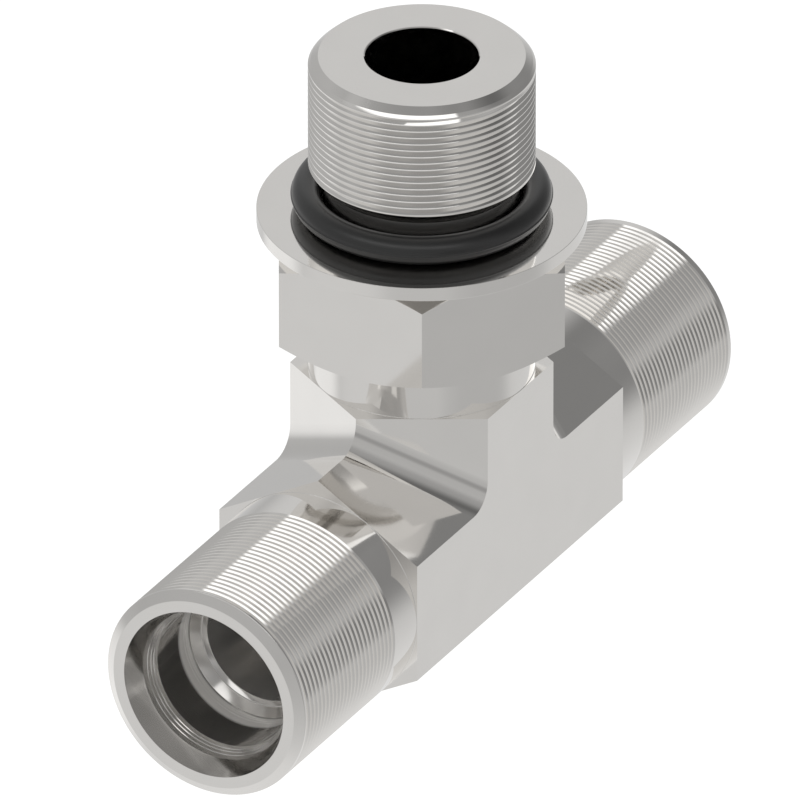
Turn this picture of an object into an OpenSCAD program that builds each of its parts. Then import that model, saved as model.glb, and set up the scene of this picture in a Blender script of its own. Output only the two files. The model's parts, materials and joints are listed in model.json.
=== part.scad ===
/* [Body] */
// Distance from the crossing of the two axes to the face of each run end
run_reach = 62.4; // [50:0.1:90]
// Distance from the crossing to the end of the hexagon of the run
run_hex_reach = 29.75; // [27:0.05:40]
// Distance from the crossing to the top of the hexagon under the branch
branch_hex_reach = 23.75; // [21:0.05:26.5]
// How far the flats of the hexagon stand outside the turned ends
hex_margin = 0.05; // [0.05:0.05:2]
// Radius of the blend where the faces of the run and the branch meet
blend_r = 4.8; // [2:0.1:6]

/* [Threaded ends] */
// Outer diameter of all three threads and of the plain necks behind them
thread_d = 32.7; // [31:0.1:34]
// Width of the bevel on the end of each thread, measured along the radius
end_bevel = 1.45; // [0.5:0.05:1.6]
// Angle of that bevel against the end face
end_bevel_angle = 30; // [15:1:45]

/* [Run sockets] */
// Diameter of the mouth of each run end
mouth_d = 26.3; // [25:0.1:27.5]
// Diameter where the outer cone of the seat ends
seat_d = 23.6; // [22.6:0.1:24.6]
// Depth of the outer cone of the seat
seat_depth = 3.05; // [2:0.05:4]
// Length of the inner cone, between the outer cone and the tube socket
inner_cone_len = 2.5; // [1:0.1:4]
// Diameter of the tube socket
socket_d = 21.8; // [20:0.1:22.4]
// Length of the straight wall of the tube socket
socket_len = 9.1; // [5:0.1:12]
// Diameter of the bore that goes right through the run
run_bore_d = 18; // [16.8:0.1:19.4]
// Angle of the conical stop at the foot of the socket, against the axis
stop_angle = 45; // [30:1:60]

/* [Branch stud] */
// Diameter of the bore of the branch
stud_bore_d = 16.4; // [10:0.1:16.6]
// Depth of the undercut that holds the seal and the washer
undercut_depth = 2; // [1.2:0.05:2.4]
// Clear length of the undercut above the washer
seal_room = 7.5; // [7.2:0.1:10]
// Length of the stud above the undercut
stud_len = 17.4; // [8:0.1:25]
// Angle of the slopes that close the undercut, against the axis
undercut_slope = 45; // [30:1:60]

/* [Lock nut] */
// Width of the lock nut across its flats
nut_af = 41; // [38:0.5:46]
// Height of the lock nut
nut_h = 16.5; // [8:0.1:24]
// Clear height between the hexagon of the branch and the nut
nut_standoff = 7.15; // [5:0.05:14]
// How far the nut and the washer can be turned down from their upper stop
nut_travel = 4; // [1:0.5:4.5]
// How far the corner bevels of the nut reach in from its flats
nut_bevel_inset = 0.6; // [0.2:0.05:1.5]
// Angle of the corner bevels of the nut
nut_bevel_angle = 30; // [15:1:40]
// Width of the lead-in at both ends of the thread of the nut
nut_lead = 0.8; // [0.2:0.1:1.2]

/* [Washer and seal] */
// How far the rim of the washer stands out past the corners of the nut
washer_rim = 0.08; // [0:0.02:3]
// Thickness of the washer
washer_t = 2.1; // [1:0.1:4]
// Thickness of the round section of the seal ring
seal_t = 4.4; // [3:0.1:4.7]

/* [Fits] */
// Gap all round between the stud and the thread of the nut
nut_fit = 0.05; // [0.02:0.01:0.1]
// Gap all round between the undercut and the bore of the washer
washer_fit = 0.08; // [0.02:0.01:0.1]
// Gap all round between the undercut and the seal ring
seal_fit = 0.1; // [0.02:0.01:0.3]
// Gap between the nut and the washer, and between the washer and the seal ring
stack_gap = 0.05; // [0.02:0.01:0.2]

/* [Hidden] */
// Fineness of the turned surfaces
$fn = 96;
// Overlap of pieces that are joined, and reach of cuts beyond a face
lap = 1;
// How far a blend cuts below the faces that it joins, so that it crosses them
bite = 0.02;

// Half the angle that one side of a hexagon takes up at its centre
hex_half = 30;

thread_r = thread_d / 2;
hex_flat = thread_r + hex_margin;
hex_corner = hex_flat / cos(hex_half);
undercut_r = thread_r - undercut_depth;
nut_corner = nut_af / 2 / cos(hex_half);
washer_r = nut_corner + washer_rim;

// Heights along the branch, from the hexagon up
nut_z = branch_hex_reach + nut_standoff;
washer_z = nut_z + nut_h + stack_gap;
washer_top = washer_z + washer_t;
seal_z = washer_top + stack_gap + seal_t / 2;
undercut_foot = washer_z - nut_travel - stack_gap;
undercut_head = washer_top + seal_room;
stud_reach = undercut_head + stud_len;
undercut_rise = undercut_depth / tan(undercut_slope);
bevel_rise = end_bevel * tan(end_bevel_angle);

// Depths inside a run end, from its face in
socket_depth = seat_depth + inner_cone_len;
stop_depth = socket_depth + socket_len;
bore_depth = stop_depth + (socket_d - run_bore_d) / 2 / tan(stop_angle);

module metal() { color([0.76, 0.75, 0.73]) children(); }

// Turns what is built along Z so that it lies along the run, towards +X
module along_run() { rotate([0, 90, 0]) children(); }

module hex_bar(length) { cylinder(r = hex_corner, h = length, $fn = 6); }

// Section of a run end outside: its neck and thread, up to the bevelled face
run_end_section = [
    [0, run_hex_reach - lap],
    [thread_r, run_hex_reach - lap],
    [thread_r, run_reach - bevel_rise],
    [thread_r - end_bevel, run_reach],
    [0, run_reach]
];

// Section of the stud: neck, thread of the nut, undercut and end thread
stud_section = [
    [0, branch_hex_reach - lap],
    [thread_r, branch_hex_reach - lap],
    [thread_r, undercut_foot - undercut_rise],
    [undercut_r, undercut_foot],
    [undercut_r, undercut_head - undercut_rise],
    [thread_r, undercut_head],
    [thread_r, stud_reach - bevel_rise],
    [thread_r - end_bevel, stud_reach],
    [0, stud_reach]
];

// One half of the passage through the run, as radius and distance from the crossing
half_passage = [
    [run_bore_d / 2, run_reach - bore_depth],
    [socket_d / 2, run_reach - stop_depth],
    [socket_d / 2, run_reach - socket_depth],
    [seat_d / 2, run_reach - seat_depth],
    [mouth_d / 2, run_reach],
    [mouth_d / 2, run_reach + lap],
    [0, run_reach + lap]
];

// The whole passage is that half and its mirror image, turned as one cut
passage_section = concat(
    half_passage,
    [for (i = [len(half_passage) - 1 : -1 : 0]) [half_passage[i][0], -half_passage[i][1]]]
);

// Blend between the slanted faces of the run and the branch, on the -X and -Y side.
// A cylinder that touches both faces leaves the fillet between them, and its axis
// runs parallel to the line where the faces meet, tilted from Y by axis_tilt.
module corner_blend() {
    axis_offset = (hex_flat + blend_r) / cos(hex_half);
    face_turn = acos(pow(sin(hex_half), 2)) / 2;
    axis_tilt = acos(pow(cos(hex_half), 2) / sin(2 * face_turn));
    kite_r = blend_r + lap;
    past_corner = 3 * axis_offset;
    intersection() {
        translate([-axis_offset, -hex_flat, 0])
            cube([axis_offset, hex_flat, branch_hex_reach]);
        translate([-axis_offset, 0, axis_offset])
            rotate([0, 45, 0])
                rotate([-90, 0, 0])
                    rotate([0, -axis_tilt, 0])
                        difference() {
                            linear_extrude(height = past_corner, center = true)
                                polygon([
                                    [0, 0],
                                    kite_r * [cos(face_turn), -sin(face_turn)],
                                    [kite_r / cos(face_turn), 0],
                                    kite_r * [cos(face_turn), sin(face_turn)]
                                ]);
                            cylinder(r = blend_r + bite, h = past_corner + lap, center = true);
                        }
    }
}

module forged_body() {
    along_run() translate([0, 0, -run_hex_reach]) hex_bar(2 * run_hex_reach);
    hex_bar(branch_hex_reach);
    for (side = [0, 1])
        mirror([side, 0, 0])
            for (face = [0, 1])
                mirror([0, face, 0])
                    corner_blend();
}

module tee_body() {
    metal()
        difference() {
            union() {
                forged_body();
                for (side = [0, 1])
                    mirror([side, 0, 0])
                        along_run()
                            rotate_extrude() polygon(run_end_section);
                rotate_extrude() polygon(stud_section);
            }
            along_run() rotate_extrude() polygon(passage_section);
            cylinder(d = stud_bore_d, h = stud_reach + lap);
        }
}

// Upright section of the nut that cuts its corners to a bevel at both ends
function nut_outline() = let(
    face_r = nut_af / 2 - nut_bevel_inset,
    corner_r = nut_corner + lap,
    drop = (corner_r - face_r) * tan(nut_bevel_angle)
) [
    [0, 0],
    [face_r, 0],
    [corner_r, drop],
    [corner_r, nut_h - drop],
    [face_r, nut_h],
    [0, nut_h]
];

// Section of the threaded hole of the nut, with a lead-in at each end
function nut_hole() = let(r = thread_r + nut_fit) [
    [0, -lap],
    [r + nut_lead + lap, -lap],
    [r, nut_lead],
    [r, nut_h - nut_lead],
    [r + nut_lead + lap, nut_h + lap],
    [0, nut_h + lap]
];

module lock_nut() {
    metal()
        translate([0, 0, nut_z])
            difference() {
                intersection() {
                    // Two corners of the nut point along Y
                    rotate([0, 0, hex_half])
                        cylinder(r = nut_corner, h = nut_h, $fn = 6);
                    rotate_extrude() polygon(nut_outline());
                }
                rotate_extrude() polygon(nut_hole());
            }
}

module backup_washer() {
    metal()
        translate([0, 0, washer_z])
            difference() {
                cylinder(r = washer_r, h = washer_t);
                translate([0, 0, -lap])
                    cylinder(r = undercut_r + washer_fit, h = washer_t + 2 * lap);
            }
}

module o_ring() {
    color([0.13, 0.13, 0.13])
        translate([0, 0, seal_z])
            rotate_extrude()
                translate([undercut_r + seal_fit + seal_t / 2, 0])
                    circle(d = seal_t);
}

tee_body();
lock_nut();
backup_washer();
o_ring();
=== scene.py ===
"""Tee adapter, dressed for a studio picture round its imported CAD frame.

The body is built again with its thread turns, its finely stepped sockets and its small
edge roundings. The lock nut, the washer and the seal ring are built again with their
edges, and all four get their finishes. Lengths in the functions are millimetres.
"""

import json
import math

import bmesh
import bpy
from bpy.props import FloatProperty, FloatVectorProperty, IntProperty, PointerProperty
from mathutils import Matrix, Vector


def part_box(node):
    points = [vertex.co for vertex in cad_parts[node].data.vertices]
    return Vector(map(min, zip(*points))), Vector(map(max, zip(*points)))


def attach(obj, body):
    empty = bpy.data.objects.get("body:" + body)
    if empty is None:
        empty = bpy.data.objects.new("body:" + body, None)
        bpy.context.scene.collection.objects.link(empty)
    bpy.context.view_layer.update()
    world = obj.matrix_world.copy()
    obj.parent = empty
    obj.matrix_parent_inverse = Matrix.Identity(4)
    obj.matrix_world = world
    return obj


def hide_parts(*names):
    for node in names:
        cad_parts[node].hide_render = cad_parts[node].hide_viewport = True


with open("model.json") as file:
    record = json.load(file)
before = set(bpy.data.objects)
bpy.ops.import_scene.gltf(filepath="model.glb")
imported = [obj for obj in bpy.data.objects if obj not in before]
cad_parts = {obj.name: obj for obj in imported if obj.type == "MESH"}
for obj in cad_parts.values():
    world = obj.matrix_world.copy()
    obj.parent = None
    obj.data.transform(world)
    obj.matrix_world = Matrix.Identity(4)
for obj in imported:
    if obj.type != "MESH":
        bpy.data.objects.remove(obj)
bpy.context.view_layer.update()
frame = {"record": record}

bl_info = {
    "name": "Tee adapter",
    "version": (1, 0, 0),
    "blender": (4, 5, 0),
    "location": "3D View > Sidebar > Tee adapter",
    "description": "Builds a plated hydraulic tee adapter with its threads, nut, washer and seal",
    "category": "Object",
}

MM = 0.001
MOUNTS = {mount["name"]: mount for mount in frame["record"]["mounts"]}


def node_box(node):
    """Lowest and highest corner of a CAD node, in millimetres."""
    return [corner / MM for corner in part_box(node)]


BODY_LOW, BODY_HIGH = node_box("tee_body")
NUT_LOW, NUT_HIGH = node_box("lock_nut")
WASHER_LOW, WASHER_HIGH = node_box("backup_washer")
SEAL_LOW, SEAL_HIGH = node_box("o_ring")
THREAD_R = MOUNTS["stud_thread"]["dims"]["r_mm"]
SOCKET_R = MOUNTS["run_left_socket"]["dims"]["r_mm"]
RUN_BORE_R = MOUNTS["run_bore"]["dims"]["r_mm"]
STUD_BORE_R = MOUNTS["stud_bore"]["dims"]["r_mm"]
# Gaps all round that the solids leave between the stud and what sits on it
SEAL_FIT, WASHER_FIT, NUT_FIT = 0.1, 0.08, 0.05
GROOVE_R = SEAL_HIGH.x - (SEAL_HIGH.z - SEAL_LOW.z) - SEAL_FIT

# ---- places on the body, in millimetres, from the photo or, where it hides them, guessed

# Bevels on the faces of the threads: their width along the radius, and how far they
# reach along the run and the stud. The stud's has two slopes, which meet at STUD_BREAK,
# as the distances in from the crests and down from the face
BEVEL_WIDTH, RUN_BEVEL, STUD_BEVEL = 1.45, 0.837, 1.45
STUD_BREAK = (0.4, 0.95)
# How far the turns stop short of the bevel of a run end and of the face of the stud
RUN_LAND, STUD_LAND = 0.3, 1.6
# Heights of the stud's undercut and of the first turn above it
UNDERCUT_FOOT, UNDERCUT_HEAD, STUD_THREAD_FOOT = 43.4, 57.05, 57.2
# Small bevel round the mouth of the branch's bore
BORE_BEVEL = 0.15
# Passage through the run, as distances from the branch axis from the bore outward: end
# of the bore, a small step in the stop, the socket's wall, and the foot of the seat cone
BORE_END = 45.85
STEP, STEP_INNER_R, STEP_OUTER_R = 46.45, 9.6, 9.75
SOCKET_FOOT, SOCKET_MOUTH = 47.75, 56.85
SEAT_FOOT, SEAT_FOOT_R = 59.35, 11.8
MOUTH_R = 13.15
# Widening of the seat cone for each millimetre of its length
SEAT_SLOPE = 0.44
# Fine turned grooves in the socket's wall and in the cone between it and the seat
WALL_MARKS = (48.3, 48.75, 49.35)
CONE_MARKS = (57.5, 58.0, 58.6)

# ---- how finely the pieces are made

# Overlap of solids that are joined, and reach of cuts beyond a face
LAP = 1.0
# How far the corner blend cuts below the faces that it joins, so that it crosses them
BITE = 0.001
# Points closer than WELD become one, edges shorter than SLIVER go, and a smaller radius
# than ON_AXIS is a point on the axis
WELD, SLIVER, ON_AXIS = 1e-4, 1e-5, 1e-9
# Half the angle that one side of a hexagon takes up at its centre
HEX_HALF = math.pi / 6
# Facets round the nut, the washer and the seal, and steps of the arcs in the outlines
ROUND_SEGMENTS = 192
BLEND_STEPS, FILLET_STEPS, SEAL_STEPS = 32, 18, 70
ARC_STEP = math.radians(5)

# ---- sizes and colours that a user would change


def length(name, description, default):
    """A length property; the default is given in millimetres."""
    return FloatProperty(
        name=name,
        description=description,
        default=default * MM,
        min=0.0,
        precision=5,
        subtype="DISTANCE",
        unit="LENGTH",
    )


def linear(code):
    """Linear RGB of an sRGB hex colour such as "#C4C0B9"."""
    parts = [int(code[i : i + 2], 16) / 255 for i in (1, 3, 5)]
    return [p / 12.92 if p <= 0.04045 else ((p + 0.055) / 1.055) ** 2.4 for p in parts]


def colour(name, description, code):
    return FloatVectorProperty(
        name=name, description=description, default=linear(code), subtype="COLOR", min=0, max=1
    )


class BodySizes(bpy.types.PropertyGroup):
    """Sizes of the body that the solids leave to the picture"""

    run_hex_reach: length(
        "Run hexagon", "From the branch axis to the end of the run's hexagon", 29.75
    )
    branch_hex_reach: length("Branch hexagon", "From the run axis to the top of its hexagon", 23.75)
    hex_flat: length("Half across flats", "From the axis to a flat of the body's hexagons", 16.4)
    blend_r: length("Blend radius", "Radius between the faces of the run and the branch", 4.8)
    pitch: length("Thread pitch", "Distance between two turns of the front and stud threads", 1.052)
    rear_pitch: length("Rear pitch", "Distance between two turns of the rear thread", 0.99)
    run_thread_foot: length(
        "Run thread foot", "Where the run threads start, from the branch axis", 35.7
    )
    foot_fillet: length("Foot fillet", "Small fillet where a neck meets its hexagon", 0.1)
    mark_width: length("Tool mark width", "Width of the fine turned grooves in the sockets", 0.16)
    mark_depth: length("Tool mark depth", "Depth of the fine turned grooves in the sockets", 0.04)
    segments: IntProperty(name="Segments", description="Facets round a thread", default=144, min=24)


class NutSizes(bpy.types.PropertyGroup):
    """Sizes of the lock nut"""

    bevel_inset: length("Bevel inset", "How far the corner bevels reach in from the flats", 0.6)
    bevel_angle: FloatProperty(
        name="Bevel angle",
        description="Angle of the corner bevels against the end faces",
        default=math.radians(30),
        subtype="ANGLE",
        unit="ROTATION",
    )
    lead: length("Lead-in", "Width of the lead-in at both ends of the nut's thread", 0.8)


class SealSizes(bpy.types.PropertyGroup):
    """Sizes of the washer's edge and of the seal ring's moulding line"""

    washer_edge: length("Washer edge", "Rounding of the washer's two rims", 0.06)
    flash_height: length("Moulding line", "How far the moulding line stands out of the seal", 0.12)
    flash_width: length("Moulding line width", "Width of the moulding line", 0.24)


class Finishes(bpy.types.PropertyGroup):
    """Colours of the finishes and of the studio"""

    nickel: colour("Nickel", "Bright nickel plating", "#DCDAD7")
    rubber: colour("Rubber", "Nitrile rubber of the seal ring", "#151515")
    floor: colour("Floor", "Pale floor of the studio", "#F8F8F8")


# ---- meshes in millimetres


def new_object(name, mesh):
    piece = bpy.data.objects.new(name, mesh)
    bpy.context.scene.collection.objects.link(piece)
    return piece


def from_bmesh(name, bm):
    mesh = bpy.data.meshes.new(name)
    bm.to_mesh(mesh)
    bm.free()
    return new_object(name, mesh)


def discard(*pieces):
    for piece in pieces:
        mesh = piece.data
        bpy.data.objects.remove(piece)
        bpy.data.meshes.remove(mesh)


def settled(piece):
    """Turns what a piece's modifiers make of it into its plain mesh."""
    graph = bpy.context.evaluated_depsgraph_get()
    made = bpy.data.meshes.new_from_object(piece.evaluated_get(graph), depsgraph=graph)
    piece.modifiers.clear()
    old, piece.data = piece.data, made
    bpy.data.meshes.remove(old)
    return piece


def closed(piece):
    """Stops the script where a solid has an open or a shared edge."""
    bm = bmesh.new()
    bm.from_mesh(piece.data)
    bad = sum(not edge.is_manifold for edge in bm.edges)
    count = len(bm.faces)
    bm.free()
    if bad or not count:
        raise RuntimeError(f"{piece.name}: {bad} open edges, {count} faces")
    return piece


def combine(base, operation, *tools):
    """Joins, cuts or crops a solid with others, which are used up."""
    for tool in tools:
        modifier = base.modifiers.new("combine", "BOOLEAN")
        modifier.operation, modifier.object, modifier.solver = operation, tool, "MANIFOLD"
        settled(base)
    discard(*tools)
    return closed(base)


def rounded(corners):
    """Outline from corners (radius, height, rounding); an arc replaces each rounded corner."""
    outline = []
    for i, (r, z, rounding) in enumerate(corners):
        here = Vector((r, z))
        if not rounding:
            outline.append(here)
            continue
        before = (Vector(corners[i - 1][:2]) - here).normalized()
        after = (Vector(corners[(i + 1) % len(corners)][:2]) - here).normalized()
        half = before.angle(after) / 2
        centre = here + (before + after).normalized() * (rounding / math.sin(half))
        start = here + before * (rounding / math.tan(half)) - centre
        end = here + after * (rounding / math.tan(half)) - centre
        sweep = math.pi - 2 * half
        steps = max(2, math.ceil(sweep / ARC_STEP))
        for k in range(steps + 1):
            t = k / steps
            outline.append(
                centre
                + start * (math.sin((1 - t) * sweep) / math.sin(sweep))
                + end * (math.sin(t * sweep) / math.sin(sweep))
            )
    return outline


def turned_rings(bm, outline, segments):
    """Rings of a turned surface about Z; a point on the axis becomes one vertex."""
    rings = []
    for r, z in outline:
        if r < ON_AXIS:
            rings.append([bm.verts.new((0, 0, z))])
            continue
        angles = [2 * math.pi * j / segments for j in range(segments)]
        rings.append([bm.verts.new((r * math.cos(a), r * math.sin(a), z)) for a in angles])
    return rings


def skin(bm, first, second):
    """Faces between two rings, either of which may be one point."""
    count = max(len(first), len(second))
    for j in range(count):
        k = (j + 1) % count
        corners = [first[j % len(first)], first[k % len(first)]]
        corners += [second[k % len(second)], second[j % len(second)]]
        bm.faces.new(list(dict.fromkeys(corners)))


def welded(bm):
    """Merges the doubles of a closed shell and turns its faces outward."""
    bmesh.ops.remove_doubles(bm, verts=bm.verts, dist=WELD)
    bmesh.ops.dissolve_degenerate(bm, edges=bm.edges, dist=SLIVER)
    bmesh.ops.recalc_face_normals(bm, faces=bm.faces)
    return bm


def turned(name, outline, segments, ring=False):
    """Closed solid of revolution about Z; with ring, the outline itself is closed."""
    bm = bmesh.new()
    rings = turned_rings(bm, outline, segments)
    pairs = list(zip(rings, rings[1:])) + ([(rings[-1], rings[0])] if ring else [])
    for first, second in pairs:
        skin(bm, first, second)
    return closed(from_bmesh(name, welded(bm)))


def prism(name, across_flats_half, low, high, corner_angle):
    """Hexagonal bar along Z, with one corner at the given angle."""
    bm = bmesh.new()
    radius = across_flats_half / math.cos(HEX_HALF)
    angles = [corner_angle + k * math.pi / 3 for k in range(6)]
    ends = []
    for z in (low, high):
        ends.append([bm.verts.new((radius * math.cos(a), radius * math.sin(a), z)) for a in angles])
        bm.faces.new(ends[-1])
    skin(bm, *ends)
    return closed(from_bmesh(name, welded(bm)))


def placed(piece, matrix):
    piece.data.transform(matrix)
    return piece


# Turns what is built along Z so that it lies along the run
TOWARDS_RIGHT = Matrix.Rotation(math.pi / 2, 4, "Y")
TOWARDS_LEFT = Matrix.Rotation(-math.pi / 2, 4, "Y")

# ---- threads, made by Geometry Nodes

# One turn as shares of the pitch: place along the axis and depth under the crest. The
# turns of the run have a steep flank on one side and a long gentle one on the other, the
# same way round in the picture at both ends. The stud's have a narrow flat crest with a
# small bevel towards the free end
LEFT_TURN = [(0.0, 0.0), (0.22, 0.22)]
RIGHT_TURN = [(0.0, 0.0), (0.78, 0.22)]
STUD_TURN = [(-0.06, 0.0), (0.08, 0.0), (0.11, 0.0234), (0.45, 0.4284)]
# Turns from the first one's start up to the foot, turns added so that the tube is full at
# both ends, and the share of the pitch over which the cut runs out
TURNS_BEFORE, SPARE_TURNS, RUN_OUT = 1.5, 3, 0.5
# Points of two turns that lie closer than this, in millimetres, are one
TURN_WELD = 0.0005


def add_node(tree, kind, links=(), **settings):
    """Adds a node, sets its properties and inputs, and makes its (input, source) links.

    A source is an output, a node, which gives its first output, or a plain value.
    """
    node = tree.nodes.new(kind)
    for name, value in settings.items():
        if hasattr(node, name):
            setattr(node, name, value)
        else:
            node.inputs[name].default_value = value
    for socket, source in links:
        if isinstance(source, bpy.types.Node):
            source = source.outputs[0]
        if isinstance(source, bpy.types.NodeSocket):
            tree.links.new(source, node.inputs[socket])
        else:
            node.inputs[socket].default_value = source
    return node


def calculate(tree, values, steps):
    """Works out steps (result, operation, inputs) in a tree and adds them to the values.

    An input is a number or the name of a value, which may be an earlier result.
    """
    for result, operation, *inputs in steps:
        sources = [values[name] if isinstance(name, str) else name for name in inputs]
        values[result] = add_node(tree, "ShaderNodeMath", enumerate(sources), operation=operation)
    return values


def thread_tree():
    """Tree that repeats one turn along Z and lets it run out to the land at both ends."""
    tree = bpy.data.node_groups.new("Thread turns", "GeometryNodeTree")
    tree.interface.new_socket("Geometry", in_out="INPUT", socket_type="NodeSocketGeometry")
    for name in ("Pitch", "Length", "Crest radius", "Run-out"):
        tree.interface.new_socket(name, in_out="INPUT", socket_type="NodeSocketFloat")
    tree.interface.new_socket("Turns", in_out="INPUT", socket_type="NodeSocketInt")
    tree.interface.new_socket("Material", in_out="INPUT", socket_type="NodeSocketMaterial")
    tree.interface.new_socket("Geometry", in_out="OUTPUT", socket_type="NodeSocketGeometry")
    given = add_node(tree, "NodeGroupInput").outputs
    where = add_node(tree, "GeometryNodeInputPosition")
    parts = add_node(tree, "ShaderNodeSeparateXYZ", [("Vector", where)]).outputs
    values = {socket.name: socket for socket in (*given, *parts)}

    calculate(tree, values, [("start", "MULTIPLY", "Pitch", -TURNS_BEFORE)])
    start = add_node(tree, "ShaderNodeCombineXYZ", [("Z", values["start"])])
    step = add_node(tree, "ShaderNodeCombineXYZ", [("Z", given["Pitch"])])
    line = add_node(
        tree,
        "GeometryNodeMeshLine",
        [("Count", given["Turns"]), ("Start Location", start), ("Offset", step)],
        mode="OFFSET",
    )
    copies = add_node(
        tree, "GeometryNodeInstanceOnPoints", [("Points", line), ("Instance", given["Geometry"])]
    )
    real = add_node(tree, "GeometryNodeRealizeInstances", [("Geometry", copies)])

    # Each point is kept between foot and head, and its cut fades out towards both
    calculate(
        tree,
        values,
        [
            ("past foot", "MAXIMUM", "Z", 0.0),
            ("along", "MINIMUM", "past foot", "Length"),
            ("to head", "SUBTRACT", "Length", "along"),
            ("to end", "MINIMUM", "along", "to head"),
            ("x squared", "MULTIPLY", "X", "X"),
            ("y squared", "MULTIPLY", "Y", "Y"),
            ("both squared", "ADD", "x squared", "y squared"),
            ("radius", "SQRT", "both squared"),
            ("full cut", "SUBTRACT", "Crest radius", "radius"),
        ],
    )
    values["fading"] = add_node(
        tree,
        "ShaderNodeMapRange",
        [("Value", values["to end"]), ("From Max", given["Run-out"])],
        interpolation_type="SMOOTHSTEP",
    )
    calculate(
        tree,
        values,
        [
            ("cut", "MULTIPLY", "full cut", "fading"),
            ("new radius", "SUBTRACT", "Crest radius", "cut"),
            ("scale", "DIVIDE", "new radius", "radius"),
            ("new x", "MULTIPLY", "X", "scale"),
            ("new y", "MULTIPLY", "Y", "scale"),
        ],
    )
    target = add_node(
        tree,
        "ShaderNodeCombineXYZ",
        [("X", values["new x"]), ("Y", values["new y"]), ("Z", values["along"])],
    )
    moved = add_node(tree, "GeometryNodeSetPosition", [("Geometry", real), ("Position", target)])
    merged = add_node(
        tree, "GeometryNodeMergeByDistance", [("Geometry", moved)], Distance=TURN_WELD
    )
    whole = add_node(tree, "GeometryNodeRealizeInstances", [("Geometry", merged)])
    finished = add_node(
        tree, "GeometryNodeSetMaterial", [("Geometry", whole), ("Material", given["Material"])]
    )
    add_node(tree, "NodeGroupOutput", [("Geometry", finished)])
    return tree


def one_turn(section, crest_r, pitch, segments):
    """Strip of one right-hand turn, one pitch wide, that winds once round Z."""
    bm = bmesh.new()
    section = [*section, (section[0][0] + 1, section[0][1])]
    rows = []
    for share, cut in section:
        row = []
        r = crest_r - pitch * cut
        for j in range(segments + 1):
            a = 2 * math.pi * (j % segments) / segments
            z = pitch * (share + j / segments)
            row.append(bm.verts.new((r * math.cos(a), r * math.sin(a), z)))
        rows.append(row)
    for low, high in zip(rows, rows[1:]):
        for j in range(segments):
            bm.faces.new((low[j], low[j + 1], high[j + 1], high[j]))
    return from_bmesh("turn", bm)


def thread(section, crest_r, pitch, reach, segments, material):
    """Open tube of thread turns about Z, from 0 to reach, plain at both ends."""
    piece = one_turn(section, crest_r, pitch, segments)
    tree = bpy.data.node_groups.get("Thread turns") or thread_tree()
    modifier = piece.modifiers.new("Thread turns", "NODES")
    modifier.node_group = tree
    values = {
        "Pitch": pitch,
        "Length": reach,
        "Crest radius": crest_r,
        "Run-out": RUN_OUT * pitch,
        "Turns": math.ceil(reach / pitch) + SPARE_TURNS,
        "Material": material,
    }
    for socket in tree.interface.items_tree:
        if socket.name in values:
            modifier[socket.identifier] = values[socket.name]
    return settled(piece)


def threaded_bar(name, before, section, crest_r, pitch, foot, reach, after, segments, material):
    """Closed turned bar about Z whose outline carries thread turns from foot up to reach."""
    turns = thread(section, crest_r, pitch, reach - foot, segments, material)
    placed(turns, Matrix.Translation((0, 0, foot)))
    bm = bmesh.new()
    bm.from_mesh(turns.data)
    discard(turns)
    for outline in (before + [Vector((crest_r, foot))], [Vector((crest_r, reach))] + after):
        rings = turned_rings(bm, outline, segments)
        for first, second in zip(rings, rings[1:]):
            skin(bm, first, second)
    return closed(from_bmesh(name, welded(bm)))


def finish_piece(piece, name, body, node, material, crease=30):
    """Scales a piece to metres, sets its creases and finish, and hands it to the frame."""
    piece.name = piece.data.name = name
    placed(piece, Matrix.Scale(MM, 4))
    mesh = piece.data
    mesh.materials.clear()
    mesh.materials.append(material)
    mesh.polygons.foreach_set("material_index", [0] * len(mesh.polygons))
    mesh.polygons.foreach_set("use_smooth", [True] * len(mesh.polygons))
    mesh.set_sharp_from_angle(angle=math.radians(crease))
    weighted = piece.modifiers.new("flat faces stay flat", "WEIGHTED_NORMAL")
    weighted.keep_sharp = True
    weighted.weight = 100
    settled(piece)
    piece.data.name = name
    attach(piece, body)
    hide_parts(node)
    return piece


# ---- finishes

# Radius about the run's axis under which the body counts as inside, just past the mouth
INSIDE_R = MOUTH_R + 0.01
# The plating inside the run, in rings: distance from the branch axis, share of the outer
# plating's own colour, and how metallic it still is. The share of colour is painted light and
# painted shade: a pale ring of painted light at the foot of a socket, which is dullest there,
# painted shade on its wall, and painted shade that makes a dark mirror of the seat cone
INSIDE_RINGS_PAINTED_LIGHT_AND_SHADE = [
    (40, 1.0, 0.7),
    (45.8, 1.0, 0.7),
    (46.2, 0.8, 0.9),
    (47.7, 0.9, 0.8),
    (48.2, 1.4, 0.2),
    (50.6, 1.4, 0.2),
    (51.2, 0.8, 0.95),
    (56.7, 0.8, 0.95),
    (57.0, 1.0, 0.85),
    (59.2, 0.9, 0.85),
    (59.6, 0.6, 1.0),
]
# How much rougher the plating is inside
INSIDE_ROUGHER = 0.03
# Scales of the patterns, as patches in a metre. Plating thickness wanders over about
# 6 mm, and polishing grit of about 0.1 mm is drawn at 0.25 mm so that it shows. The
# rubber has mould grain of about 0.3 mm, and its shine wanders over about 5 mm
PLATING_SCALE, GRIT_SCALE = 160.0, 4000.0
GRAIN_SCALE, SHINE_SCALE = 3000.0, 220.0


def empty_material(name):
    """A new material with no nodes, and its tree."""
    material = bpy.data.materials.new(name)
    material.use_nodes = True
    material.node_tree.nodes.clear()
    return material, material.node_tree


def set_stops(ramp, stops):
    """Gives a colour ramp its stops, each a place from 0 to 1 and a colour with alpha."""
    elements = ramp.color_ramp.elements
    while len(elements) < len(stops):
        elements.new(0.5)
    for element, (place, shade) in zip(elements, stops):
        element.position, element.color = place, shade


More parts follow.
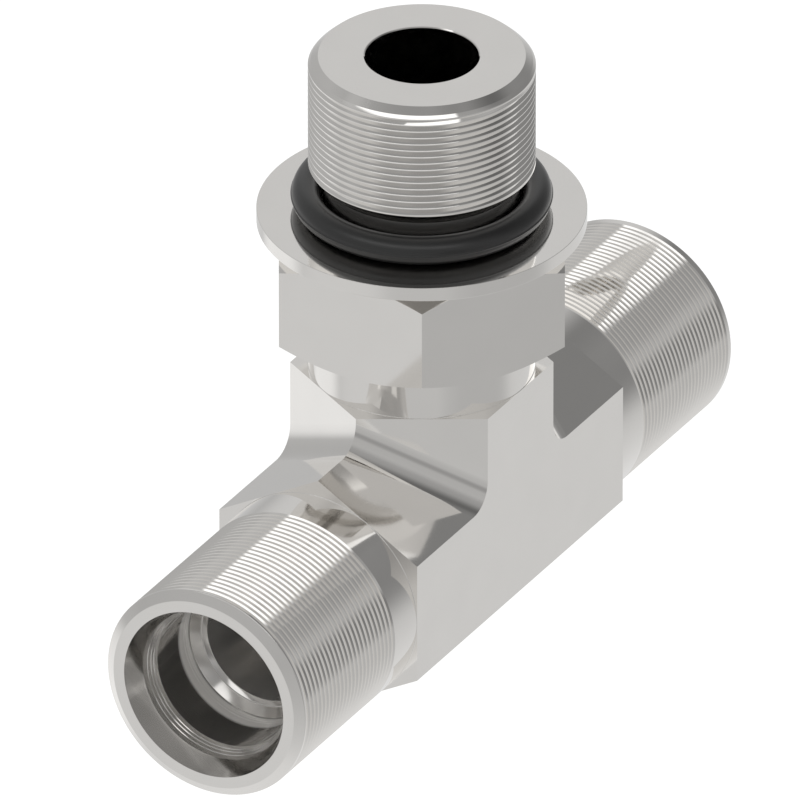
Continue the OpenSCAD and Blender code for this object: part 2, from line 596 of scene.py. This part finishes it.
def bright_nickel(name, base, sockets=False):
    """Bright nickel plating on turned and forged steel: a mirror with a warm cast, a
    faint unevenness of the plating and very fine polishing marks. With sockets, the
    inside of the run gets a duller finish, as plating leaves in a deep hole, and rings of painted
    light and painted shade in its colour."""
    material, tree = empty_material(name)
    place = add_node(tree, "ShaderNodeTexCoord").outputs["Object"]
    # The unevenness shows as a slow change of gloss and a faint one of colour
    cloud = add_node(
        tree, "ShaderNodeTexNoise", [("Vector", place)], Scale=PLATING_SCALE, Detail=2.0
    ).outputs["Fac"]
    gloss = add_node(
        tree, "ShaderNodeMapRange", [("Value", cloud), ("To Min", 0.05), ("To Max", 0.09)]
    )
    grit = add_node(tree, "ShaderNodeTexNoise", [("Vector", place)], Scale=GRIT_SCALE, Detail=1.0)
    bump = add_node(
        tree, "ShaderNodeBump", [("Height", grit.outputs["Fac"])], Strength=0.02, Distance=0.00001
    )
    tint = add_node(tree, "ShaderNodeMix", [("Factor", cloud)], data_type="RGBA")
    tint.inputs["A"].default_value = [*base, 1]
    tint.inputs["B"].default_value = [*(c * 0.96 for c in base), 1]
    shader = add_node(
        tree,
        "ShaderNodeBsdfPrincipled",
        [("Base Color", tint.outputs["Result"]), ("Roughness", gloss), ("Normal", bump)],
        Metallic=1.0,
    )
    if sockets:
        parts = add_node(tree, "ShaderNodeSeparateXYZ", [("Vector", place)]).outputs
        across = add_node(
            tree, "ShaderNodeVectorMath", [(0, place), (1, (0.0, 1.0, 1.0))], operation="MULTIPLY"
        )
        radius = add_node(tree, "ShaderNodeVectorMath", [(0, across)], operation="LENGTH")
        values = calculate(
            tree,
            {"X": parts["X"], "radius": radius.outputs["Value"], "gloss": gloss},
            [
                ("inside", "LESS_THAN", "radius", INSIDE_R * MM),
                ("reach", "ABSOLUTE", "X"),
                ("share of reach", "DIVIDE", "reach", BODY_HIGH.x * MM),
            ],
        )
        # Rings along the run paint light and shade into the plating's colour and set how metallic
        # each ring still is
        rings = add_node(tree, "ShaderNodeValToRGB", [("Fac", values["share of reach"])])
        stops = []
        for ring, light, metallic in INSIDE_RINGS_PAINTED_LIGHT_AND_SHADE:
            shade = [*(min(1.0, c * light) for c in base), metallic]
            stops.append((ring / BODY_HIGH.x, shade))
        set_stops(rings, stops)
        # The ramp's alpha holds how metallic a ring still is
        values["still metallic"] = rings.outputs["Alpha"]
        calculate(
            tree,
            values,
            [
                ("rougher", "MULTIPLY", "inside", INSIDE_ROUGHER),
                ("roughness", "ADD", "gloss", "rougher"),
                ("dullness", "SUBTRACT", 1.0, "still metallic"),
                ("dulled", "MULTIPLY", "inside", "dullness"),
                ("metallic", "SUBTRACT", 1.0, "dulled"),
            ],
        )
        both = add_node(
            tree,
            "ShaderNodeMix",
            [
                ("Factor", values["inside"]),
                ("A", tint.outputs["Result"]),
                ("B", rings.outputs["Color"]),
            ],
            data_type="RGBA",
        )
        tree.links.new(both.outputs["Result"], shader.inputs["Base Color"])
        tree.links.new(values["roughness"].outputs[0], shader.inputs["Roughness"])
        tree.links.new(values["metallic"].outputs[0], shader.inputs["Metallic"])
    add_node(tree, "ShaderNodeOutputMaterial", [("Surface", shader)])
    return material


def nitrile_rubber(name, base):
    """Nitrile rubber, moulded and lightly oiled: near black, with a soft broad gloss."""
    material, tree = empty_material(name)
    place = add_node(tree, "ShaderNodeTexCoord").outputs["Object"]
    grain = add_node(tree, "ShaderNodeTexNoise", [("Vector", place)], Scale=GRAIN_SCALE, Detail=3.0)
    bump = add_node(
        tree, "ShaderNodeBump", [("Height", grain.outputs["Fac"])], Strength=0.15, Distance=0.00002
    )
    patch = add_node(
        tree, "ShaderNodeTexNoise", [("Vector", place)], Scale=SHINE_SCALE, Detail=2.0
    ).outputs["Fac"]
    gloss = add_node(
        tree, "ShaderNodeMapRange", [("Value", patch), ("To Min", 0.28), ("To Max", 0.38)]
    )
    tint = add_node(tree, "ShaderNodeMix", [("Factor", patch)], data_type="RGBA")
    tint.inputs["A"].default_value = [*base, 1]
    tint.inputs["B"].default_value = [*(c * 1.4 for c in base), 1]
    shader = add_node(
        tree,
        "ShaderNodeBsdfPrincipled",
        [("Base Color", tint.outputs["Result"]), ("Roughness", gloss), ("Normal", bump)],
        Metallic=0.0,
        IOR=1.52,
        **{"Specular IOR Level": 0.6},
    )
    add_node(tree, "ShaderNodeOutputMaterial", [("Surface", shader)])
    return material


# ---- the pieces


def corner_blend(hex_flat, blend_r, top):
    """Fillet between the slanted faces of the run and the branch, on the -X and -Y side."""
    # The blend's axis runs parallel to the line where the two faces meet, tilted from Y
    axis_offset = (hex_flat + blend_r) / math.cos(HEX_HALF)
    face_turn = math.acos(math.sin(HEX_HALF) ** 2) / 2
    axis_tilt = math.acos(math.cos(HEX_HALF) ** 2 / math.sin(2 * face_turn))
    kite_r = blend_r + LAP
    arc_r = blend_r + BITE
    arc = [face_turn * (1 - 2 * k / BLEND_STEPS) for k in range(BLEND_STEPS + 1)]
    outline = [Vector((kite_r * math.cos(face_turn), -kite_r * math.sin(face_turn)))]
    outline.append(Vector((kite_r / math.cos(face_turn), 0)))
    outline.append(Vector((kite_r * math.cos(face_turn), kite_r * math.sin(face_turn))))
    outline += [Vector((arc_r * math.cos(a), arc_r * math.sin(a))) for a in arc]
    reach = 1.5 * axis_offset
    bm = bmesh.new()
    ends = [[bm.verts.new((x, y, z)) for x, y in outline] for z in (-reach, reach)]
    for end in ends:
        bm.faces.new(end)
    skin(bm, *ends)
    solid = from_bmesh("blend", welded(bm))
    turn = Matrix.Rotation(math.pi / 4, 4, "Y") @ Matrix.Rotation(-math.pi / 2, 4, "X")
    turn = turn @ Matrix.Rotation(-axis_tilt, 4, "Y")
    placed(solid, Matrix.Translation((-axis_offset, 0, axis_offset)) @ turn)
    bm = bmesh.new()
    bmesh.ops.create_cube(bm, size=1)
    crop = from_bmesh("crop", bm)
    middle = Matrix.Translation((-axis_offset / 2, -hex_flat / 2, top / 2))
    placed(crop, middle @ Matrix.Diagonal((axis_offset, hex_flat, top, 1)))
    return combine(solid, "INTERSECT", crop)


def mirrored(piece, axis):
    """A copy of a solid on the other side of the plane across an axis, faces outward."""
    bm = bmesh.new()
    bm.from_mesh(piece.data)
    scale = Matrix.Scale(-1, 4, Vector([float(i == axis) for i in range(3)]))
    bmesh.ops.transform(bm, matrix=scale, verts=bm.verts)
    bmesh.ops.reverse_faces(bm, faces=bm.faces)
    return from_bmesh("mirrored", bm)


def neck_foot(flat, fillet):
    """Outline from the axis up to a neck, with the fillet where it leaves its hexagon."""
    wide = THREAD_R + fillet
    outline = [Vector((0, flat - LAP)), Vector((wide, flat - LAP)), Vector((wide, flat))]
    for k in range(1, FILLET_STEPS + 1):
        a = math.pi / 2 * k / FILLET_STEPS
        r = THREAD_R + fillet * (1 - math.sin(a))
        outline.append(Vector((r, flat + fillet * (1 - math.cos(a)))))
    return outline


def run_bar(name, sizes, section, pitch, material):
    """Outside of one run end, from inside the hexagon to its bevelled face."""
    end, foot = BODY_HIGH.x, sizes.run_thread_foot / MM
    before = neck_foot(sizes.run_hex_reach / MM, sizes.foot_fillet / MM)
    after = rounded(
        [
            (THREAD_R, foot, 0),
            (THREAD_R, end - RUN_BEVEL, 0.2),
            (THREAD_R - BEVEL_WIDTH, end, 0.12),
            (0, end, 0),
        ]
    )[1:]
    head = end - RUN_BEVEL - RUN_LAND
    return threaded_bar(
        name, before, section, THREAD_R, pitch, foot, head, after, sizes.segments, material
    )


def stud_bar(name, sizes, material):
    """Outside of the branch above its hexagon: neck, undercut and end thread."""
    end, foot = BODY_HIGH.z, STUD_THREAD_FOOT
    flat, fillet = sizes.branch_hex_reach / MM, sizes.foot_fillet / MM
    slope = THREAD_R - GROOVE_R
    break_in, break_down = STUD_BREAK
    before = neck_foot(flat, fillet)
    before += rounded(
        [
            (THREAD_R, flat + fillet, 0),
            (THREAD_R, UNDERCUT_FOOT - slope, 0.1),
            (GROOVE_R, UNDERCUT_FOOT, 0.3),
            (GROOVE_R, UNDERCUT_HEAD - slope, 0.3),
            (THREAD_R, UNDERCUT_HEAD, 0.35),
            (THREAD_R, foot, 0),
        ]
    )[1:]
    after = rounded(
        [
            (THREAD_R, foot, 0),
            (THREAD_R, end - STUD_BEVEL, 0.15),
            (THREAD_R - break_in, end - break_down, 0.15),
            (THREAD_R - BEVEL_WIDTH, end, 0.1),
            (0, end, 0),
        ]
    )[1:]
    head, pitch = end - STUD_LAND, sizes.pitch / MM
    return threaded_bar(
        name, before, STUD_TURN, THREAD_R, pitch, foot, head, after, sizes.segments, material
    )


def tool_marks(low, high, places, width, depth):
    """Corners of fine turned grooves in a stretch of an outline between two corners."""
    corners = []
    for z in places:
        for offset, extra in ((-width / 2, 0), (0, depth), (width / 2, 0)):
            share = (z + offset - low[1]) / (high[1] - low[1])
            corners.append((low[0] + (high[0] - low[0]) * share + extra, z + offset, 0))
    return corners


def passage(sizes):
    """The passage through the run, with its seats, sockets and stops, as one cut along Z."""
    end = BODY_HIGH.x
    width, depth = sizes.mark_width / MM, sizes.mark_depth / MM
    wall = [(SOCKET_R, SOCKET_FOOT), (SOCKET_R, SOCKET_MOUTH)]
    cone = [wall[1], (SEAT_FOOT_R, SEAT_FOOT)]
    half = rounded(
        [
            (RUN_BORE_R, 0, 0),
            (RUN_BORE_R, BORE_END, 0.35),
            (STEP_INNER_R, STEP, 0.1),
            (STEP_OUTER_R, STEP, 0.08),
            (*wall[0], 0.2),
            *tool_marks(*wall, WALL_MARKS, width, depth),
            (*wall[1], 0.2),
            *tool_marks(*cone, CONE_MARKS, width, depth),
            (*cone[1], 0.15),
            (MOUTH_R, end, 0),
            (MOUTH_R + LAP * SEAT_SLOPE, end + LAP, 0),
            (0, end + LAP, 0),
        ]
    )[1:]
    whole = [Vector((r, -z)) for r, z in reversed(half)] + half
    return placed(turned("passage", whole, sizes.segments), TOWARDS_RIGHT)


def build_body(sizes, material):
    """The whole body as one closed mesh."""
    flat = sizes.hex_flat / MM
    run_reach, top = sizes.run_hex_reach / MM, sizes.branch_hex_reach / MM
    # The run's hexagon has corners at the top and bottom, the branch's towards the run ends
    run = placed(prism("run", flat, -run_reach, run_reach, 0), TOWARDS_RIGHT)
    branch = prism("branch", flat, 0, top, 0)
    blend = corner_blend(flat, sizes.blend_r / MM, top)
    blends = [blend, mirrored(blend, 0)]
    blends += [mirrored(piece, 1) for piece in blends]
    forging = combine(run, "UNION", branch, *blends)
    ends = []
    for turn, section, pitch in (
        (TOWARDS_LEFT, LEFT_TURN, sizes.pitch),
        (TOWARDS_RIGHT, RIGHT_TURN, sizes.rear_pitch),
    ):
        bar = run_bar("run end", sizes, section, pitch / MM, material)
        crop = prism("crop", flat, 0, BODY_HIGH.x + LAP, 0)
        ends.append(placed(combine(bar, "INTERSECT", crop), turn))
    stud = stud_bar("stud", sizes, material)
    stud = combine(stud, "INTERSECT", prism("crop", flat, 0, BODY_HIGH.z + LAP, 0))
    body = combine(forging, "UNION", *ends, stud)
    mouth = [
        (0, 0),
        (STUD_BORE_R, 0),
        (STUD_BORE_R, BODY_HIGH.z - BORE_BEVEL),
        (STUD_BORE_R + BORE_BEVEL + LAP, BODY_HIGH.z + LAP),
        (0, BODY_HIGH.z + LAP),
    ]
    bore = turned("bore", mouth, sizes.segments)
    return combine(body, "DIFFERENCE", passage(sizes), bore)


class TEE_OT_body(bpy.types.Operator):
    """Builds the forged body with its threads, sockets and passages"""

    bl_idname = "tee_adapter.body"
    bl_label = "Body"

    def execute(self, context):
        scene = context.scene
        metal = bright_nickel("bright_nickel_on_steel", scene.tee_finishes.nickel, sockets=True)
        body = build_body(scene.tee_body, metal)
        finish_piece(body, "plated_body", "fitting", "tee_body", metal, crease=6)
        return {"FINISHED"}


class TEE_OT_nut(bpy.types.Operator):
    """Builds the lock nut with its bevelled corners and its lead-ins"""

    bl_idname = "tee_adapter.nut"
    bl_label = "Lock nut"

    def execute(self, context):
        scene = context.scene
        sizes = scene.tee_nut
        metal = bright_nickel("bright_nickel_on_nut", scene.tee_finishes.nickel)
        low, high = NUT_LOW.z, NUT_HIGH.z
        flat = NUT_HIGH.x
        hexagon = prism("nut", flat, low, high, HEX_HALF)
        inset, lead = sizes.bevel_inset / MM, sizes.lead / MM
        # The bevels are cut by a cone whose rim lies outside the corners
        wide = flat * 1.3
        drop = (wide - flat + inset) * math.tan(sizes.bevel_angle)
        cone = [(0, low), (flat - inset, low), (wide, low + drop)]
        cone += [(wide, high - drop), (flat - inset, high), (0, high)]
        hole_r = THREAD_R + NUT_FIT
        hole = [(0, low - LAP), (hole_r + lead + LAP, low - LAP), (hole_r, low + lead)]
        hole += [(hole_r, high - lead), (hole_r + lead + LAP, high + LAP), (0, high + LAP)]
        nut = combine(hexagon, "INTERSECT", turned("cone", cone, ROUND_SEGMENTS))
        nut = combine(nut, "DIFFERENCE", turned("hole", hole, ROUND_SEGMENTS))
        finish_piece(nut, "plated_lock_nut", "nut", "lock_nut", metal, crease=12)
        return {"FINISHED"}


class TEE_OT_washer(bpy.types.Operator):
    """Builds the flat washer with its slightly rounded rims"""

    bl_idname = "tee_adapter.washer"
    bl_label = "Back-up washer"

    def execute(self, context):
        scene = context.scene
        metal = bright_nickel("bright_nickel_on_washer", scene.tee_finishes.nickel)
        edge = scene.tee_seal.washer_edge / MM
        inner = GROOVE_R + WASHER_FIT
        low, high, outer = WASHER_LOW.z, WASHER_HIGH.z, WASHER_HIGH.x
        outline = rounded(
            [(inner, low, edge), (outer, low, edge), (outer, high, edge), (inner, high, edge)]
        )
        washer = turned("washer", outline, ROUND_SEGMENTS, ring=True)
        finish_piece(washer, "plated_washer", "washer", "backup_washer", metal)
        return {"FINISHED"}


class TEE_OT_seal(bpy.types.Operator):
    """Builds the rubber seal ring with its moulding line"""

    bl_idname = "tee_adapter.seal"
    bl_label = "Seal ring"

    def execute(self, context):
        scene = context.scene
        sizes = scene.tee_seal
        rubber = nitrile_rubber("moulded_nitrile_rubber", scene.tee_finishes.rubber)
        height, width = sizes.flash_height / MM, sizes.flash_width / MM
        section = (SEAL_HIGH.z - SEAL_LOW.z) / 2
        centre_r, centre_z = SEAL_HIGH.x - section, (SEAL_HIGH.z + SEAL_LOW.z) / 2
        # The section is a circle, with the moulding line's flat crest at its outermost
        line = math.asin(width / 2 / section)
        around = 2 * math.pi - 2 * line
        outline = [
            (section - height, line + around * k / SEAL_STEPS) for k in range(SEAL_STEPS + 1)
        ]
        outline += [(section, -0.25 * line), (section, 0.25 * line)]
        outline = [
            Vector((centre_r + r * math.cos(a), centre_z + r * math.sin(a))) for r, a in outline
        ]
        ring = turned("seal", outline, ROUND_SEGMENTS, ring=True)
        finish_piece(
            ring, "rubber_seal_ring", "fitting", "o_ring", rubber, crease=60
        )
        return {"FINISHED"}


# ---- studio

# Direction of the photo's camera as azimuth and elevation from the object, in degrees
CAMERA_AZIMUTH, CAMERA_ELEVATION = 210.0, 30.0
# Width that the picture takes in at the object, in metres, and lens and sensor in millimetres
FRAME_WIDTH = 0.1153
LENS, SENSOR = 1690.0, 36.0
# Centre of the picture, as metres to the right of and above the crossing of the axes
CENTRE_RIGHT, CENTRE_UP = -0.003131, 0.015112


def direction(azimuth, elevation):
    a, e = math.radians(azimuth), math.radians(elevation)
    return Vector((math.cos(e) * math.cos(a), math.cos(e) * math.sin(a), math.sin(e)))


# Light of the room by elevation, from straight down to straight up
ROOM = [
    (-90, 0.98),
    (-60, 0.9),
    (-30, 0.72),
    (0, 0.55),
    (30, 0.58),
    (50, 0.5),
    (65, 0.38),
    (90, 0.37),
]
# Round soft lights and dark flags: azimuth, elevation, inner and outer radius in
# degrees, and the light that each adds
LOBES = [
    (30, 30, 6, 34, 0.2),
    (270, -30, 14, 40, -0.13),
    (210, -30, 8, 30, -0.04),
    (150, -30, 10, 36, 0.09),
    (90, -30, 8, 26, 0.36),
    (238, -3, 6, 18, -0.3),
    (30, -5, 2, 9, 0.14),
    (127, 41, 4, 14, 0.1),
    (216, 31, 5, 20, -0.15),
    (345, -34, 15, 40, 0.08),
    (328, 29, 16, 50, -0.27),
    (280, 48, 10, 34, -0.1),
]
# Long soft box above the camera: middle and half width in azimuth and in elevation,
# how far it sags at its ends, softness of its edges, and its light
BOX = (192, 58, 48.2, 7.2, 4.0, 2.0, 1.1)
# Light where a piece mirrors metal: share of the room's own light, an even part, and the
# most it may be. FILL_LOBES are a soft light and a flag that only this light gets, and
# FILL_DEPTH lies between the depths of a first and a second mirror image
FILL = (0.5, 0.65, 2.0)
FILL_LOBES = [(0, 45, 15, 45, 0.9), (200, 28, 20, 42, -0.34)]
FILL_DEPTH = 2.5
BACKDROP_LIGHT = 1.1
# The floor: radius in metres, share of its colour that takes light, and its own light
FLOOR_RADIUS, FLOOR_SHARE, FLOOR_LIGHT = 12, 0.35, 0.9


def studio_world():
    """Soft studio light: a pale room, one long soft box, and soft round lights and flags."""
    world = bpy.data.worlds.new("Soft studio")
    bpy.context.scene.world = world
    world.use_nodes = True
    tree = world.node_tree
    tree.nodes.clear()
    ray = add_node(tree, "ShaderNodeTexCoord").outputs["Generated"]

    def with_lobes(total, lobes):
        """The light in a direction with round lights and flags added."""
        for azimuth, elevation, inner, outer, light in lobes:
            towards = direction(azimuth, elevation)
            facing = add_node(
                tree, "ShaderNodeVectorMath", [(0, ray), (1, towards)], operation="DOT_PRODUCT"
            )
            lobe = add_node(
                tree,
                "ShaderNodeMapRange",
                [
                    ("Value", facing.outputs["Value"]),
                    ("From Min", math.cos(math.radians(outer))),
                    ("From Max", math.cos(math.radians(inner))),
                    ("To Max", light),
                ],
                interpolation_type="SMOOTHSTEP",
            )
            total = add_node(tree, "ShaderNodeMath", [(0, total), (1, lobe)], operation="ADD")
        return total

    # Elevation of the direction, and how far it lies beside and above the soft box's line
    middle, half, height, half_height, sag, soft, box_light = BOX
    parts = add_node(tree, "ShaderNodeSeparateXYZ", [("Vector", ray)]).outputs
    turned_ray = add_node(
        tree,
        "ShaderNodeVectorRotate",
        [("Vector", ray)],
        rotation_type="Z_AXIS",
        Angle=-math.radians(middle),
    )
    level = add_node(tree, "ShaderNodeSeparateXYZ", [("Vector", turned_ray)]).outputs
    values = calculate(
        tree,
        {"rise": parts["Z"], "ahead": level["X"], "across": level["Y"]},
        [
            ("rise angle", "ARCSINE", "rise"),
            ("elevation", "DEGREES", "rise angle"),
            ("from nadir", "ADD", "elevation", 90.0),
            ("share of ramp", "DIVIDE", "from nadir", 180.0),
            ("turn", "ARCTAN2", "across", "ahead"),
            ("turn in degrees", "DEGREES", "turn"),
            ("aside", "ABSOLUTE", "turn in degrees"),
            ("share of half", "DIVIDE", "aside", half),
            ("share squared", "POWER", "share of half", 2.0),
            ("sagged", "MULTIPLY", "share squared", sag),
            ("with sag", "ADD", "elevation", "sagged"),
            ("off the line", "SUBTRACT", "with sag", height),
            ("above", "ABSOLUTE", "off the line"),
        ],
    )
    ramp = add_node(tree, "ShaderNodeValToRGB", [("Fac", values["share of ramp"])])
    set_stops(ramp, [((angle + 90) / 180, (light, light, light, 1)) for angle, light in ROOM])
    values["pale room"] = with_lobes(ramp.outputs["Color"], LOBES)
    for name, distance, reach, most in (
        ("wide", "aside", half, 1.0),
        ("tall", "above", half_height, box_light),
    ):
        values[name] = add_node(
            tree,
            "ShaderNodeMapRange",
            [
                ("Value", values[distance]),
                ("From Min", reach + soft),
                ("From Max", reach - soft),
                ("To Max", most),
            ],
            interpolation_type="SMOOTHSTEP",
        )
    # What the pieces mirror of each other is lit softly from all round
    share, even, most = FILL
    calculate(
        tree,
        values,
        [
            ("box", "MULTIPLY", "wide", "tall"),
            ("room", "ADD", "pale room", "box"),
            ("room's share", "MULTIPLY", "room", share),
            ("even light", "ADD", "room's share", even),
        ],
    )
    values["soft light"] = with_lobes(values["even light"], FILL_LOBES)
    values["depth"] = add_node(tree, "ShaderNodeLightPath").outputs["Ray Depth"]
    calculate(
        tree,
        values,
        [
            ("not too bright", "MINIMUM", "soft light", most),
            ("fill", "MAXIMUM", "not too bright", 0.0),
            ("mirrored again", "GREATER_THAN", "depth", FILL_DEPTH),
            ("difference", "SUBTRACT", "fill", "room"),
            ("change", "MULTIPLY", "mirrored again", "difference"),
            ("light", "ADD", "room", "change"),
        ],
    )
    room = add_node(tree, "ShaderNodeBackground", [("Strength", values["light"])])
    white = add_node(tree, "ShaderNodeBackground", Strength=BACKDROP_LIGHT)
    for node in (room, white):
        node.inputs["Color"].default_value = (1, 1, 1, 1)
    # The camera sees a plain white backdrop, and the metal mirrors the room
    camera_ray = add_node(tree, "ShaderNodeLightPath").outputs["Is Camera Ray"]
    mix = add_node(tree, "ShaderNodeMixShader", [(0, camera_ray), (1, room), (2, white)])
    add_node(tree, "ShaderNodeOutputWorld", [("Surface", mix)])


def studio_floor(colour_value, height):
    """Plain pale floor, matt and evenly lit."""
    bm = bmesh.new()
    bmesh.ops.create_circle(bm, cap_ends=True, radius=FLOOR_RADIUS, segments=64)
    bmesh.ops.translate(bm, verts=bm.verts, vec=(0, 0, height))
    floor = from_bmesh("studio_floor", bm)
    material, tree = empty_material("matt_pale_floor")
    shader = add_node(tree, "ShaderNodeBsdfPrincipled", Roughness=0.9)
    shader.inputs["Base Color"].default_value = [*(c * FLOOR_SHARE for c in colour_value), 1]
    shader.inputs["Specular IOR Level"].default_value = 0.0
    shader.inputs["Emission Color"].default_value = (1, 1, 1, 1)
    shader.inputs["Emission Strength"].default_value = FLOOR_LIGHT
    add_node(tree, "ShaderNodeOutputMaterial", [("Surface", shader)])
    floor.data.materials.append(material)
    # The metal mirrors the room's own light instead of the floor
    floor.visible_glossy = False


def studio_camera():
    """Camera far off with a long lens, as the photo shows no perspective."""
    scene = bpy.context.scene
    data = bpy.data.cameras.new("photo camera")
    data.lens, data.sensor_width = LENS, SENSOR
    camera = bpy.data.objects.new("photo camera", data)
    scene.collection.objects.link(camera)
    back = direction(CAMERA_AZIMUTH, CAMERA_ELEVATION)
    right = Vector((-back.y, back.x, 0)).normalized()
    up = back.cross(right)
    centre = right * CENTRE_RIGHT + up * CENTRE_UP
    camera.location = centre + back * (FRAME_WIDTH * LENS / SENSOR)
    camera.rotation_mode = "QUATERNION"
    camera.rotation_quaternion = (-back).to_track_quat("-Z", "Y")
    data.clip_end = 100.0
    scene.camera = camera


class TEE_OT_stage(bpy.types.Operator):
    """Sets up the pale floor, the soft studio light and the camera"""

    bl_idname = "tee_adapter.stage"
    bl_label = "Studio"

    def execute(self, context):
        scene = context.scene
        scene.view_settings.view_transform = "Standard"
        studio_world()
        studio_floor(scene.tee_finishes.floor, BODY_LOW.z * MM)
        studio_camera()
        return {"FINISHED"}


class TEE_PT_panel(bpy.types.Panel):
    """Lists the pieces, their sizes and their finishes"""

    bl_idname = "TEE_PT_panel"
    bl_label = "Tee adapter"
    bl_space_type = "VIEW_3D"
    bl_region_type = "UI"
    bl_category = "Tee adapter"

    def draw(self, context):
        for settings in SETTINGS:
            column = self.layout.box().column()
            group = getattr(context.scene, settings)
            for name in group.__annotations__:
                column.prop(group, name)
        for operator in OPERATORS:
            self.layout.operator(operator.bl_idname)


SETTINGS = {
    "tee_body": BodySizes,
    "tee_nut": NutSizes,
    "tee_seal": SealSizes,
    "tee_finishes": Finishes,
}
OPERATORS = (TEE_OT_body, TEE_OT_nut, TEE_OT_washer, TEE_OT_seal, TEE_OT_stage)


def register():
    for group in SETTINGS.values():
        bpy.utils.register_class(group)
    for name, group in SETTINGS.items():
        setattr(bpy.types.Scene, name, PointerProperty(type=group))
    for cls in (*OPERATORS, TEE_PT_panel):
        bpy.utils.register_class(cls)


def unregister():
    for cls in reversed((*OPERATORS, TEE_PT_panel)):
        bpy.utils.unregister_class(cls)
    for name in SETTINGS:
        delattr(bpy.types.Scene, name)
    for group in reversed(list(SETTINGS.values())):
        bpy.utils.unregister_class(group)


def main():
    register()
    bpy.ops.tee_adapter.body()
    bpy.ops.tee_adapter.nut()
    bpy.ops.tee_adapter.washer()
    bpy.ops.tee_adapter.seal()
    bpy.ops.tee_adapter.stage()


if __name__ == "__main__":
    main()
